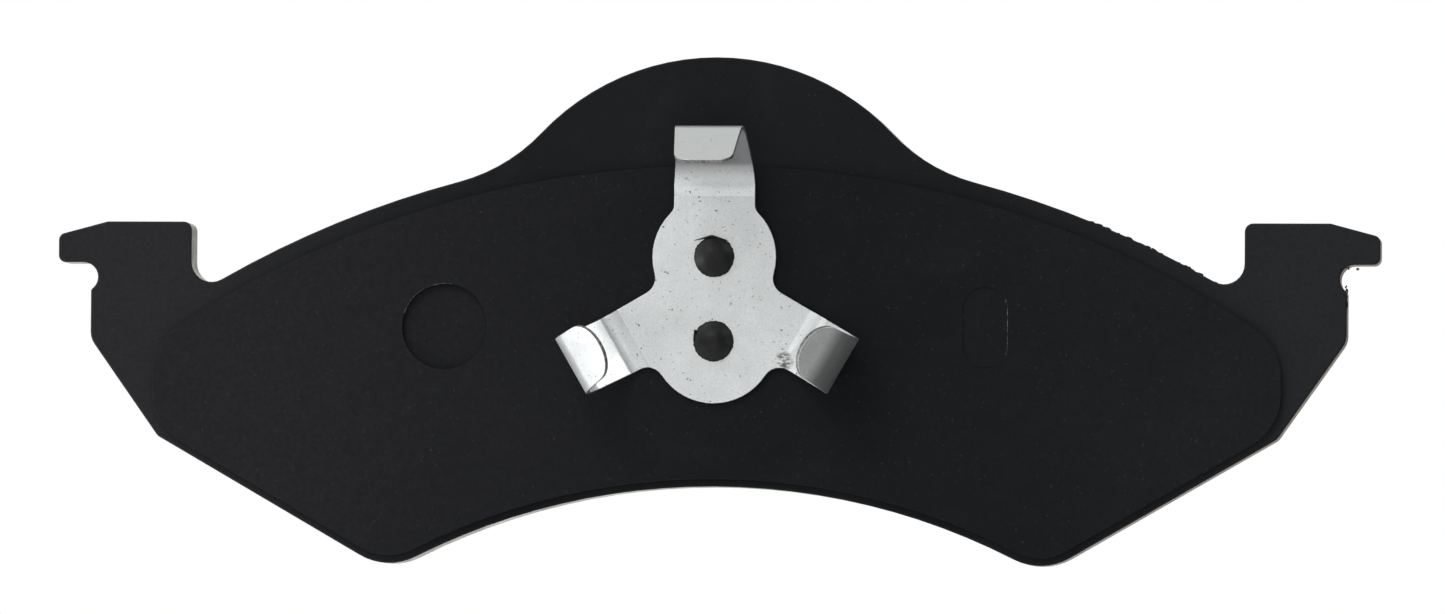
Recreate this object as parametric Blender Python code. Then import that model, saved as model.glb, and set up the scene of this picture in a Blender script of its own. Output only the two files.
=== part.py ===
"""Disc brake pad, piston side, as an assembly of separate pieces.

Frame, in metres: X runs along the pad, +Z points away from the wheel axle and +Y towards the
rotor. The origin lies midway between the undersides of the two ears, in the plane of the
backing plate's back face, which is the face that the caliper piston pushes.
"""

import math

import bmesh
import bpy
from mathutils import Matrix, Vector

# Backing plate
PAD_LENGTH = 0.1890  # over the tips of the two ears
PLATE_THICKNESS = 0.0060
SHOULDER_CROWN = 0.01645  # height at which the shoulder arc would cross the centre line
SHOULDER_END = -0.00498  # height at which the shoulder arc reaches the ear
RADIAL_WIDTH = 0.0482  # from the shoulder arc in to the lower arc
DOME_RADIUS = 0.03455  # the plate behind the piston, about the piston's axis
PISTON_Z = -0.00514
DOME_BLEND_RADIUS = 0.0250
NOTCH_RADIUS = 0.0029
EAR_WIDTH = 0.0192  # from the ear's tip in to the notch
EAR_HEIGHT = 0.00585
EAR_CORNER_RADIUS = 0.0012
EAR_TOP_LENGTH = 0.01215  # flat stretch before the slant
EAR_SLANT = math.radians(15)
EAR_TIP_RADIUS = 0.0010
HOOK_REACH = 0.0047  # how far the ear's tip stands out past the plate's side
RELIEF_RADIUS = 0.0021  # round relief under the ear, at the corner of the bearing faces
RELIEF_OUTSET = 0.0011  # centre of the relief, out from the plate's side
FLANK_FOOT_Z = -0.0248  # corner between the flank and the lower edge
FLANK_INSET = 0.0098  # the same corner, in from the plate's side
FLANK_ANGLE = math.radians(54.8)
FLANK_TOP_RADIUS = 0.0030
FLANK_FOOT_RADIUS = 0.0016
LOWER_EDGE_ANGLE = math.radians(30)
LOBE_RADIUS = 0.0084

# Holes in the plate that lock the friction material to it
KEY_HOLE_X = 0.0386
KEY_HOLE_Z = -0.0091
ROUND_KEY_DIAMETER = 0.0122
SLOT_KEY_WIDTH = 0.0063
SLOT_KEY_LENGTH = 0.0115
KEY_RECESS = 0.0009  # from the plate's back face down to the moulded plug
KEY_HOLES = (
    ("round_key", -KEY_HOLE_X, ROUND_KEY_DIAMETER, ROUND_KEY_DIAMETER),
    ("slot_key", KEY_HOLE_X, SLOT_KEY_WIDTH, SLOT_KEY_LENGTH),
)

# Friction material
FRICTION_THICKNESS = 0.0094
UNDERLAYER_THICKNESS = 0.0019
LINING_TOP_INSET = 0.0034  # from the plate's shoulder arc
LINING_EDGE_INSET = 0.0022  # from the plate's lower edges and lower arc
LINING_END_INSET = 0.0110  # from the plate's side
LINING_CORNER_RADIUS = 0.0040
CHAMFER_LENGTH = 0.0100
CHAMFER_DEPTH = 0.0045
WEAR_SLOT_WIDTH = 0.0030
WEAR_SLOT_DEPTH = 0.0066

# Noise shim, a laminate of three layers
DAMPING_FILM_THICKNESS = 0.0002
SHIM_CORE_THICKNESS = 0.0004
RUBBER_COAT_THICKNESS = 0.0002
SHIM_TOP_INSET = 0.0026
SHIM_EDGE_INSET = 0.0011
SHIM_END_INSET = 0.0092
SHIM_CORNER_RADIUS = 0.0080

# Spring clip that snaps into the hollow piston
CLIP_THICKNESS = 0.0006
CLIP_CENTRE_Z = -0.0039
CLIP_LOBE_RADIUS = 0.00885
RIVET_SPACING = 0.0120
TOP_ARM_WIDTH = 0.0116
SIDE_ARM_WIDTH = 0.0090
ARM_FILLET_RADIUS = 0.0024
TOP_ARM_FILLET_RADIUS = 0.0016
SIDE_ARM_BEARING = 120  # degrees from the top arm, each way
ROOT_RADIUS = 0.0169  # where the rising arm would meet the flat, from the clip's centre
ROOT_BEND_RADIUS = 0.0030
FOLD_RADIUS = 0.02335  # where the arm and the tab would meet, from the clip's centre
FOLD_HEIGHT = 0.0081  # the same corner, above the middle of the flat sheet
FOLD_BEND_RADIUS = 0.0036
TAB_TIP_HEIGHT = 0.0173
TOP_TAB_TIP_RADIUS = 0.0172
SIDE_TAB_TIP_RADIUS = 0.0163
TOP_FOLD_WIDTH = 0.0100
TOP_TIP_WIDTH = 0.0088
TOP_TIP_ROUNDING = 0.0016
SIDE_TIP_WIDTH = 0.0080
SIDE_TIP_ROUNDING = 0.0050
TIP_FLAT = 0.1  # share of the tip's rounding left as a flat at the very end

# Rivets that hold the clip
RIVET_SHANK_DIAMETER = 0.0034
RIVET_HEAD_DIAMETER = 0.0057
RIVET_HEAD_HEIGHT = 0.0019
RIVET_END_DEPTH = 0.0004  # the shank stops this far short of the plate's front face
RIVET_END_CHAMFER = 0.0004

# Clearances
BOND_GAP = 0.0001  # between flat faces that are bonded or clamped together
KEY_GAP = 0.0003  # round a moulded plug in its hole
RIVET_GAP = 0.0002  # round a rivet in each hole it passes through
JOINT_GAP = 0.0003  # between the clip's hub and a finger
FINGER_FLAT = 0.0001  # flat stretch of a finger before its first bend

ARC_TOLERANCE = 0.00002  # greatest sag of a facet on a round stretch
LARGEST_STEP = math.radians(15)
TURN_STEPS = 40
TIP_STEP = 10  # degrees between the sections that round off a tab's tip
OVERCUT = 0.001  # how far a cutter passes each face that it opens

# Places that follow from the sizes above
SIDE_X = PAD_LENGTH / 2 - HOOK_REACH
EAR_X = PAD_LENGTH / 2 - EAR_WIDTH
SHOULDER_FALL = SHOULDER_CROWN - SHOULDER_END
OUTER_RADIUS = (EAR_X**2 + SHOULDER_FALL**2) / (2 * SHOULDER_FALL)  # about the wheel axle
AXLE = Vector((0, SHOULDER_CROWN - OUTER_RADIUS))
INNER_RADIUS = OUTER_RADIUS - RADIAL_WIDTH
FLANK_FOOT = Vector((SIDE_X - FLANK_INSET, FLANK_FOOT_Z))
UNDERLAYER_Y = PLATE_THICKNESS + BOND_GAP
FRICTION_Y = UNDERLAYER_Y + UNDERLAYER_THICKNESS + BOND_GAP
FILM_Y = -BOND_GAP - DAMPING_FILM_THICKNESS
CORE_Y = FILM_Y - BOND_GAP - SHIM_CORE_THICKNESS
COAT_Y = CORE_Y - BOND_GAP - RUBBER_COAT_THICKNESS
CLIP_Y = COAT_Y - BOND_GAP - CLIP_THICKNESS
RIVET_HOLE_DIAMETER = RIVET_SHANK_DIAMETER + 2 * RIVET_GAP
UPPER_RIVET_Z = PISTON_Z + RIVET_SPACING / 2
LOWER_RIVET_Z = PISTON_Z - RIVET_SPACING / 2


# Outlines are drawn in the XZ plane as seen from behind, clockwise. Each edge is a directed line
# or a directed circle, and each corner between two edges has a fillet radius, which may be zero.
class Line:
    def __init__(self, point, angle):
        self.point = Vector(point)
        self.way = Vector((math.cos(angle), math.sin(angle)))

    def left(self):
        return Vector((-self.way.y, self.way.x))

    def moved(self, to_left):
        line = Line(self.point + self.left() * to_left, 0)
        line.way = self.way
        return line

    def heading(self, point):
        return self.way

    def nearest(self, point):
        return self.point + self.way * (point - self.point).dot(self.way)


class Circle:
    """A circle, run round clockwise unless turn is 1."""

    def __init__(self, centre, radius, turn=-1):
        self.centre = Vector(centre)
        self.radius = radius
        self.turn = turn

    def moved(self, to_left):
        return Circle(self.centre, self.radius - self.turn * to_left, self.turn)

    def heading(self, point):
        out = (point - self.centre).normalized()
        return Vector((-out.y, out.x)) * self.turn

    def nearest(self, point):
        return self.centre + (point - self.centre).normalized() * self.radius


def crossings(a, b):
    """The points where two edges meet."""
    if isinstance(a, Circle) and isinstance(b, Circle):
        between = b.centre - a.centre
        apart = between.length
        along = (apart**2 + a.radius**2 - b.radius**2) / (2 * apart)
        foot = a.centre + between * (along / apart)
        across = Vector((-between.y, between.x)) / apart
        reach = math.sqrt(a.radius**2 - along**2)
        return [foot + across * reach, foot - across * reach]
    if isinstance(a, Circle):
        a, b = b, a
    if isinstance(b, Circle):
        foot = a.nearest(b.centre)
        reach = math.sqrt(b.radius**2 - (foot - b.centre).length_squared)
        return [foot + a.way * reach, foot - a.way * reach]
    distance = (b.point - a.point).cross(b.way) / a.way.cross(b.way)
    return [a.point + a.way * distance]


def crossing(a, b):
    """Where two edges meet, on the right-hand half's outer side."""
    return max(crossings(a, b), key=lambda point: point.x + point.y)


def arc(centre, start, end, turn):
    """Points from start to end round centre, both included."""
    radius = (start - centre).length
    first = math.atan2(start.y - centre.y, start.x - centre.x)
    last = math.atan2(end.y - centre.y, end.x - centre.x)
    sweep = (last - first) * turn % math.tau
    if sweep > math.tau - 1e-6:
        return [start]
    step = min(LARGEST_STEP, 2 * math.acos(1 - min(1, ARC_TOLERANCE / radius)))
    count = max(1, math.ceil(sweep / step))
    middle = [first + turn * sweep * i / count for i in range(1, count)]
    turned = [centre + radius * Vector((math.cos(a), math.sin(a))) for a in middle]
    return [start] + turned + [end]


def corner(a, b, radius):
    """The points of the fillet between edge a and edge b."""
    point = crossing(a, b)
    if radius == 0:
        return [point]
    turn = math.copysign(1, a.heading(point).cross(b.heading(point)))
    centre = crossing(a.moved(turn * radius), b.moved(turn * radius))
    return arc(centre, a.nearest(centre), b.nearest(centre), turn)


def traced(edges, radii):
    """The points of a run of edges, from the first corner to the last."""
    points = []
    for a, b, radius in zip(edges, edges[1:], radii):
        fillet = corner(a, b, radius)
        if points and isinstance(a, Circle):
            points += arc(a.centre, points.pop(), fillet[0], a.turn)[:-1]
        points += fillet
    return points


def mirrored(right_half):
    """A whole outline from its right-hand half, which starts and ends on the centre line."""
    left_half = [Vector((-point.x, point.y)) for point in reversed(right_half[1:-1])]
    return right_half + left_half


def rounded(corners, radii):
    """The points of an open run of straight stretches with rounded inner corners."""
    points = [Vector(corners[0])]
    for before, here, after, radius in zip(corners, corners[1:], corners[2:], radii):
        inward = Vector(here) - Vector(before)
        outward = Vector(after) - Vector(here)
        a = Line(before, math.atan2(inward.y, inward.x))
        b = Line(here, math.atan2(outward.y, outward.x))
        points += corner(a, b, radius)
    return points + [Vector(corners[-1])]


CENTRE_LINE = Line((0, 0), math.radians(90))


def plate_outline():
    tip_x = PAD_LENGTH / 2
    relief = Vector((SIDE_X + RELIEF_OUTSET, -RELIEF_RADIUS))
    edges = [
        CENTRE_LINE,
        Circle((0, PISTON_Z), DOME_RADIUS),
        Circle(AXLE, OUTER_RADIUS),
        Line((EAR_X, 0), math.radians(90)),
        Line((EAR_X, EAR_HEIGHT), 0),
        Line((EAR_X + EAR_TOP_LENGTH, EAR_HEIGHT), -EAR_SLANT),
        Line((tip_x, 0), math.radians(-90)),
        Line((tip_x, 0), math.radians(180)),
    ]
    radii = [0, DOME_BLEND_RADIUS, NOTCH_RADIUS, EAR_CORNER_RADIUS, 0, EAR_TIP_RADIUS]
    upper = traced(edges, radii + [EAR_TIP_RADIUS])
    side = Line((SIDE_X, 0), math.radians(-90))
    drop = RELIEF_RADIUS + math.sqrt(RELIEF_RADIUS**2 - RELIEF_OUTSET**2)
    groove = arc(relief, Vector((relief.x, 0)), Vector((SIDE_X, -drop)), 1)
    edges = [
        side,
        Line(FLANK_FOOT, FLANK_ANGLE - math.pi),
        Line(FLANK_FOOT, LOWER_EDGE_ANGLE - math.pi),
        Circle(AXLE, INNER_RADIUS, turn=1),
        CENTRE_LINE,
    ]
    radii = [FLANK_TOP_RADIUS, FLANK_FOOT_RADIUS, LOBE_RADIUS, 0]
    return mirrored(upper + groove + traced(edges, radii))


def footprint(top_inset, edge_inset, end_inset, corner_radius):
    """The outline of a layer that covers the pad inside the plate's edges, without the dome."""
    end_x = SIDE_X - end_inset
    down_edge = Line(FLANK_FOOT, LOWER_EDGE_ANGLE - math.pi)
    edges = [
        CENTRE_LINE,
        Circle(AXLE, OUTER_RADIUS - top_inset),
        Line((end_x, 0), math.radians(-90)),
        down_edge.moved(-edge_inset),
        Circle(AXLE, INNER_RADIUS + edge_inset, turn=1),
        CENTRE_LINE,
    ]
    radii = [0, corner_radius, corner_radius, LOBE_RADIUS - edge_inset, 0]
    return mirrored(traced(edges, radii))


def finger_start():
    """How far from the clip's centre a finger starts, which is its hinge line."""
    rise = math.atan2(FOLD_HEIGHT, FOLD_RADIUS - ROOT_RADIUS)
    return ROOT_RADIUS - ROOT_BEND_RADIUS * math.tan(rise / 2) - FINGER_FLAT


def arm_fillet(radius, lobe, edge, outward):
    """The fillet between a lobe and an arm's edge, if need be limited by the arm's flat length."""
    from_clip_centre = lobe.centre - Vector((0, CLIP_CENTRE_Z))
    run = finger_start() - JOINT_GAP - from_clip_centre.dot(outward)
    outside = (lobe.centre - edge.point).dot(edge.left())
    largest = (run**2 + outside**2 - lobe.radius**2) / (2 * (lobe.radius + outside))
    return min(radius, largest)


def hub_outline():
    """The clip's flat middle, out to a gap before the line where each arm starts to bend."""
    centre = Vector((0, CLIP_CENTRE_Z))
    reach = finger_start() - JOINT_GAP
    bearing = math.radians(90 - SIDE_ARM_BEARING)
    arm = Line(centre, bearing)
    top_edge = Line((TOP_ARM_WIDTH / 2, 0), math.radians(-90))
    upper_lobe = Circle((0, UPPER_RIVET_Z), CLIP_LOBE_RADIUS)
    arm_edge = arm.moved(SIDE_ARM_WIDTH / 2)
    back_edge = Line(centre, bearing + math.pi).moved(SIDE_ARM_WIDTH / 2)
    lower_lobe = Circle((0, LOWER_RIVET_Z), CLIP_LOBE_RADIUS)
    edges = [
        Line((0, CLIP_CENTRE_Z + reach), 0),
        top_edge,
        upper_lobe,
        arm_edge,
        Line(centre + arm.way * reach, bearing - math.pi / 2),
        back_edge,
        lower_lobe,
    ]
    radii = [
        0,
        arm_fillet(TOP_ARM_FILLET_RADIUS, upper_lobe, top_edge, Vector((0, 1))),
        arm_fillet(ARM_FILLET_RADIUS, upper_lobe, arm_edge, arm.way),
        0,
        0,
        arm_fillet(ARM_FILLET_RADIUS, lower_lobe, back_edge, arm.way),
    ]
    points = traced(edges, radii)
    top = Vector((0, CLIP_CENTRE_Z + reach))
    bottom = Vector((0, LOWER_RIVET_Z - CLIP_LOBE_RADIUS))
    lobe = arc(lower_lobe.centre, points.pop(), bottom, -1)
    return mirrored([top] + points + lobe)


def material(name, colour, roughness, metallic):
    made = bpy.data.materials.new(name)
    made.use_nodes = True
    shader = made.node_tree.nodes["Principled BSDF"]
    shader.inputs["Base Color"].default_value = (*colour, 1)
    shader.inputs["Roughness"].default_value = roughness
    shader.inputs["Metallic"].default_value = metallic
    return made


def piece(name, shape, finish):
    """An object made from a bmesh, with its material."""
    bmesh.ops.recalc_face_normals(shape, faces=shape.faces)
    mesh = bpy.data.meshes.new(name)
    shape.to_mesh(mesh)
    shape.free()
    made = bpy.data.objects.new(name, mesh)
    bpy.context.scene.collection.objects.link(made)
    if finish:
        made.data.materials.append(finish)
    return made


def cutter(name, shape):
    made = piece(name, shape, None)
    made.hide_render = True
    made.display_type = "WIRE"
    return made


def combine(target, tool, operation="DIFFERENCE"):
    modifier = target.modifiers.new(tool.name, "BOOLEAN")
    modifier.operation = operation
    modifier.solver = "EXACT"
    modifier.object = tool


def slab(outline, low_y, thickness):
    """The outline as a sheet of this thickness, its back at low_y."""
    shape = bmesh.new()
    corners = [shape.verts.new((point.x, low_y, point.y)) for point in outline]
    face = shape.faces.new(corners)
    grown = bmesh.ops.extrude_face_region(shape, geom=[face])
    moved = [item for item in grown["geom"] if isinstance(item, bmesh.types.BMVert)]
    bmesh.ops.translate(shape, vec=(0, thickness, 0), verts=moved)
    return shape


def obround(centre_x, centre_z, width, length):
    """A vertical slot with round ends, or a circle when its length is its width."""
    radius = width / 2
    rise = (length - width) / 2
    upper = Vector((centre_x, centre_z + rise))
    lower = Vector((centre_x, centre_z - rise))
    side = Vector((radius, 0))
    over = arc(upper, upper - side, upper + side, -1)
    under = arc(lower, lower + side, lower - side, -1)
    if rise == 0:
        return over + under[1:-1]
    return over + under


def smooth(made, angle=30):
    made.data.shade_smooth()
    made.data.set_sharp_from_angle(angle=math.radians(angle))


def cut_rivet_holes(target, low_y, thickness):
    """Both rivet holes through one layer, whose back is at low_y."""
    for place, z in (("upper", UPPER_RIVET_Z), ("lower", LOWER_RIVET_Z)):
        outline = obround(0, z, RIVET_HOLE_DIAMETER, RIVET_HOLE_DIAMETER)
        hole = slab(outline, low_y - OVERCUT, thickness + 2 * OVERCUT)
        combine(target, cutter(f"{target.name}_{place}_rivet_cutter", hole))


def cut_key_holes(target, low_y, thickness):
    """Both key holes through one layer, whose back is at low_y."""
    for place, x, width, length in KEY_HOLES:
        outline = obround(x, KEY_HOLE_Z, width, length)
        hole = slab(outline, low_y - OVERCUT, thickness + 2 * OVERCUT)
        combine(target, cutter(f"{target.name}_{place}_cutter", hole))


def make_backing_plate(finish):
    plate = piece("backing_plate", slab(plate_outline(), 0, PLATE_THICKNESS), finish)
    cut_key_holes(plate, 0, PLATE_THICKNESS)
    cut_rivet_holes(plate, 0, PLATE_THICKNESS)
    smooth(plate)


def lining_footprint():
    return footprint(
        LINING_TOP_INSET, LINING_EDGE_INSET, LINING_END_INSET, LINING_CORNER_RADIUS
    )


def make_underlayer(finish):
    """The bonding layer, with the two plugs that are moulded into the plate's key holes."""
    shape = slab(lining_footprint(), UNDERLAYER_Y, UNDERLAYER_THICKNESS)
    layer = piece("friction_underlayer", shape, finish)
    plug_depth = UNDERLAYER_Y + UNDERLAYER_THICKNESS / 2 - KEY_RECESS
    for place, x, width, length in KEY_HOLES:
        outline = obround(x, KEY_HOLE_Z, width - 2 * KEY_GAP, length - 2 * KEY_GAP)
        plug = cutter(f"{place}_plug", slab(outline, KEY_RECESS, plug_depth))
        combine(layer, plug, "UNION")
    smooth(layer)


def make_friction_block(finish):
    """The friction material, with a wear slot across its middle and a chamfer at each end."""
    face_y = FRICTION_Y + FRICTION_THICKNESS
    block = piece("friction_block", slab(lining_footprint(), FRICTION_Y, FRICTION_THICKNESS), finish)
    height = 2 * OUTER_RADIUS
    floor_y = face_y - WEAR_SLOT_DEPTH
    half = WEAR_SLOT_WIDTH / 2
    slot = [(-half, floor_y), (half, floor_y), (half, face_y + OVERCUT), (-half, face_y + OVERCUT)]
    combine(block, cutter("wear_slot_cutter", bar(slot, height)))
    end_x = SIDE_X - LINING_END_INSET
    slope = CHAMFER_DEPTH / CHAMFER_LENGTH
    for side in (-1, 1):
        inner = (side * (end_x - CHAMFER_LENGTH - OVERCUT), face_y + OVERCUT * slope)
        outer = (side * (end_x + OVERCUT), face_y - CHAMFER_DEPTH - OVERCUT * slope)
        above = (side * (end_x + OVERCUT), face_y + CHAMFER_DEPTH)
        name = "left_chamfer_cutter" if side < 0 else "right_chamfer_cutter"
        combine(block, cutter(name, bar([inner, outer, above], height)))
    smooth(block)


def bar(section, height):
    """A bar along Z, as high as given, from its section in X and Y."""
    shape = bmesh.new()
    face = shape.faces.new([shape.verts.new((x, y, -height / 2)) for x, y in section])
    grown = bmesh.ops.extrude_face_region(shape, geom=[face])
    moved = [item for item in grown["geom"] if isinstance(item, bmesh.types.BMVert)]
    bmesh.ops.translate(shape, vec=(0, 0, height), verts=moved)
    return shape


def make_shim_layer(name, low_y, thickness, finish):
    """One layer of the noise shim, open over both key holes and both rivets."""
    outline = footprint(SHIM_TOP_INSET, SHIM_EDGE_INSET, SHIM_END_INSET, SHIM_CORNER_RADIUS)
    layer = piece(name, slab(outline, low_y, thickness), finish)
    cut_key_holes(layer, low_y, thickness)
    cut_rivet_holes(layer, low_y, thickness)
    smooth(layer)


def make_clip_hub(finish):
    hub = piece("clip_hub", slab(hub_outline(), CLIP_Y, CLIP_THICKNESS), finish)
    cut_rivet_holes(hub, CLIP_Y, CLIP_THICKNESS)
    smooth(hub)


def finger_path(tip_radius):
    """The middle of a finger's sheet from the side, outward and upward from its hinge line."""
    hinge = finger_start()
    corners = [
        (0, 0),
        (ROOT_RADIUS - hinge, 0),
        (FOLD_RADIUS - hinge, FOLD_HEIGHT),
        (tip_radius - hinge, TAB_TIP_HEIGHT),
    ]
    return rounded(corners, [ROOT_BEND_RADIUS, FOLD_BEND_RADIUS])


def with_tip_stations(path, rounding):
    """The path with its last stretch divided, closer together towards the tip."""
    start, end = path[-2], path[-1]
    length = (end - start).length
    angles = [math.radians(angle) for angle in range(0, 90, TIP_STEP)]
    stations = [1 - rounding * math.cos(angle) / length for angle in angles]
    return path[:-1] + [start.lerp(end, share) for share in stations] + [end]


def make_finger(name, bearing, widths, tip_radius, rounding, finish):
    """One finger, a bent strip. widths are at its root, its fold and its tip."""
    path = with_tip_stations(finger_path(tip_radius), rounding)
    lengths = [0]
    for a, b in zip(path, path[1:]):
        lengths.append(lengths[-1] + (b - a).length)
    total = lengths[-1]
    fold = max(range(len(path)), key=lambda i: path[i].x)
    shape = bmesh.new()
    rings = []
    for i, point in enumerate(path):
        before = path[max(i - 1, 0)]
        after = path[min(i + 1, len(path) - 1)]
        along = (after - before).normalized()
        normal = Vector((-along.y, along.x)) * CLIP_THICKNESS / 2
        half = half_width(lengths[i], lengths[fold], total, widths, rounding)
        ring = [
            shape.verts.new((x, point.x + side * normal.x, point.y + side * normal.y))
            for x, side in ((-half, -1), (half, -1), (half, 1), (-half, 1))
        ]
        if rings:
            for j in range(4):
                k = (j + 1) % 4
                shape.faces.new((rings[-1][j], rings[-1][k], ring[k], ring[j]))
        rings.append(ring)
    shape.faces.new(rings[0])
    shape.faces.new(rings[-1])
    finger = piece(name, shape, finish)
    turned = Matrix.Rotation(math.radians(bearing), 4, "Y") @ Matrix.Rotation(math.pi / 2, 4, "X")
    out = Matrix.Rotation(math.radians(bearing), 3, "Y") @ Vector((0, 0, finger_start()))
    centre = Vector((0, CLIP_Y + CLIP_THICKNESS / 2, CLIP_CENTRE_Z))
    finger.matrix_world = Matrix.Translation(centre + out) @ turned
    smooth(finger)


def half_width(length, fold_length, total, widths, rounding):
    """Half the strip's width at this length along it, rounded off towards the tip."""
    root, fold, tip = widths
    if length < fold_length:
        width = root + (fold - root) * length / fold_length
    else:
        width = fold + (tip - fold) * (length - fold_length) / (total - fold_length)
    side_radius = min(rounding, tip / 2)
    past = max(0, (length - (total - rounding)) / rounding)
    return width / 2 - side_radius * (1 - math.sqrt(max(TIP_FLAT**2, 1 - past**2)))


def make_rivet(name, z, finish):
    """A domed rivet with its head on the clip and its shank in the plate."""
    head = RIVET_HEAD_DIAMETER / 2
    shank = RIVET_SHANK_DIAMETER / 2
    dome_radius = (head**2 + RIVET_HEAD_HEIGHT**2) / (2 * RIVET_HEAD_HEIGHT)
    seat_y = CLIP_Y - BOND_GAP
    end_y = PLATE_THICKNESS - RIVET_END_DEPTH
    centre = Vector((0, RIVET_HEAD_HEIGHT - dome_radius))
    dome = arc(centre, Vector((0, RIVET_HEAD_HEIGHT)), Vector((head, 0)), -1)
    length = end_y - seat_y
    profile = dome + [
        Vector((shank, 0)),
        Vector((shank, RIVET_END_CHAMFER - length)),
        Vector((shank - RIVET_END_CHAMFER, -length)),
        Vector((0, -length)),
    ]
    shape = bmesh.new()
    verts = [shape.verts.new((point.x, 0, point.y)) for point in profile]
    edges = [shape.edges.new(pair) for pair in zip(verts, verts[1:])]
    bmesh.ops.spin(
        shape, geom=verts + edges, axis=(0, 0, 1), cent=(0, 0, 0), angle=math.tau, steps=TURN_STEPS
    )
    bmesh.ops.remove_doubles(shape, verts=shape.verts, dist=1e-6)
    rivet = piece(name, shape, finish)
    rivet.location = (0, seat_y, z)
    rivet.rotation_euler = (math.pi / 2, 0, 0)
    smooth(rivet)


def clear_scene():
    for item in list(bpy.data.objects):
        bpy.data.objects.remove(item, do_unlink=True)


clear_scene()

plate_paint = material("black_powder_coat", (0.020, 0.021, 0.022), 0.55, 0.0)
underlayer_compound = material("underlayer_compound", (0.055, 0.050, 0.045), 0.90, 0.0)
friction_compound = material("semi_metallic_friction", (0.075, 0.072, 0.070), 0.85, 0.1)
damping_film = material("damping_film", (0.030, 0.028, 0.026), 0.60, 0.0)
shim_steel = material("shim_steel", (0.420, 0.420, 0.430), 0.35, 1.0)
rubber_coat = material("black_rubber_coat", (0.019, 0.020, 0.021), 0.60, 0.0)
spring_steel = material("zinc_plated_spring_steel", (0.620, 0.630, 0.640), 0.42, 1.0)
rivet_finish = material("black_rivet_finish", (0.022, 0.022, 0.023), 0.40, 0.0)

make_backing_plate(plate_paint)
make_underlayer(underlayer_compound)
make_friction_block(friction_compound)
make_shim_layer("shim_damping_film", FILM_Y, DAMPING_FILM_THICKNESS, damping_film)
make_shim_layer("shim_steel_core", CORE_Y, SHIM_CORE_THICKNESS, shim_steel)
make_shim_layer("shim_rubber_coat", COAT_Y, RUBBER_COAT_THICKNESS, rubber_coat)
make_clip_hub(spring_steel)
make_finger(
    "clip_finger_top",
    0,
    (TOP_ARM_WIDTH, TOP_FOLD_WIDTH, TOP_TIP_WIDTH),
    TOP_TAB_TIP_RADIUS,
    TOP_TIP_ROUNDING,
    spring_steel,
)
for side_name, side_bearing in (("right", SIDE_ARM_BEARING), ("left", -SIDE_ARM_BEARING)):
    make_finger(
        f"clip_finger_{side_name}",
        side_bearing,
        (SIDE_ARM_WIDTH, SIDE_ARM_WIDTH, SIDE_TIP_WIDTH),
        SIDE_TAB_TIP_RADIUS,
        SIDE_TIP_ROUNDING,
        spring_steel,
    )
make_rivet("clip_rivet_upper", UPPER_RIVET_Z, rivet_finish)
make_rivet("clip_rivet_lower", LOWER_RIVET_Z, rivet_finish)
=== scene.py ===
import math
import random

import bpy
from mathutils import Matrix, Vector


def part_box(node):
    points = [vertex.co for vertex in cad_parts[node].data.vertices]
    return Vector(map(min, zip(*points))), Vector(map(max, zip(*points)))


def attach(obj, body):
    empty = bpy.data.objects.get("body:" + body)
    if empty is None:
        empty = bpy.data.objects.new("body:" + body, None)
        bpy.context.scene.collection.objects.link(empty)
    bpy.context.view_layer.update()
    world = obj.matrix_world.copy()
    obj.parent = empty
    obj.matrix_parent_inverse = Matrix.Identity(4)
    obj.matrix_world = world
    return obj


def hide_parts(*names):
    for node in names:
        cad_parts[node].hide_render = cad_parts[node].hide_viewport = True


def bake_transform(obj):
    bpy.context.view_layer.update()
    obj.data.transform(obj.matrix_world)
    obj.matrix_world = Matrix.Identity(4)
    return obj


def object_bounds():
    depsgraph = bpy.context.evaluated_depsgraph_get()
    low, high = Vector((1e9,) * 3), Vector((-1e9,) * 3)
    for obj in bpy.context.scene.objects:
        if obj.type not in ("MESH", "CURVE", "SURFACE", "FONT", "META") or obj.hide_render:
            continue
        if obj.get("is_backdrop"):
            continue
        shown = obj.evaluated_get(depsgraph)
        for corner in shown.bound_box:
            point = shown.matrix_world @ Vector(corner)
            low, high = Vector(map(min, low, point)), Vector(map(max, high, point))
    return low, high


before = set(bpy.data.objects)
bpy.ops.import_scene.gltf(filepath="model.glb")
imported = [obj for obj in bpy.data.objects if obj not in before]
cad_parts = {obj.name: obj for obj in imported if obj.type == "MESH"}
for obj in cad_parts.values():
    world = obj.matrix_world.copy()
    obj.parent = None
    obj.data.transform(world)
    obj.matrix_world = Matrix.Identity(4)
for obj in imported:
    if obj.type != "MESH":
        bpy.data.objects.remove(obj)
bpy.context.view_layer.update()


# Backing plate
# Six millimetre steel, blanked in a press, so its edges are rolled over on one side and torn on
# the other, then shot blasted and powder coated satin black.
PLATE_THICKNESS = 0.0060
PLATE_EDGE_RADIUS = 0.00030
SHOULDER_RADIUS = 0.1430  # about the wheel's axle
AXLE_DEPTH = 0.12655
SIDE_X = 0.0898
KEY_HOLE_X = 0.0386
KEY_HOLE_Z = -0.0091
UPPER_RIVET_Z = 0.00086
LOWER_RIVET_Z = -0.01114
HOLE_SURROUND = 0.008  # walls nearer than this to a hole's centre are the hole's own
SHOULDER_CRUMBS = 26
SIDE_CRUMBS = 18
EAR_CRUMBS = 8

chance = random.Random(5)


def pick_only(made):
    bpy.ops.object.select_all(action="DESELECT")
    made.select_set(True)
    bpy.context.view_layer.objects.active = made


def start_editing(made):
    pick_only(made)
    bpy.ops.object.mode_set(mode="EDIT")
    bpy.ops.mesh.select_all(action="SELECT")


def stop_editing():
    bpy.ops.object.mode_set(mode="OBJECT")


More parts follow.
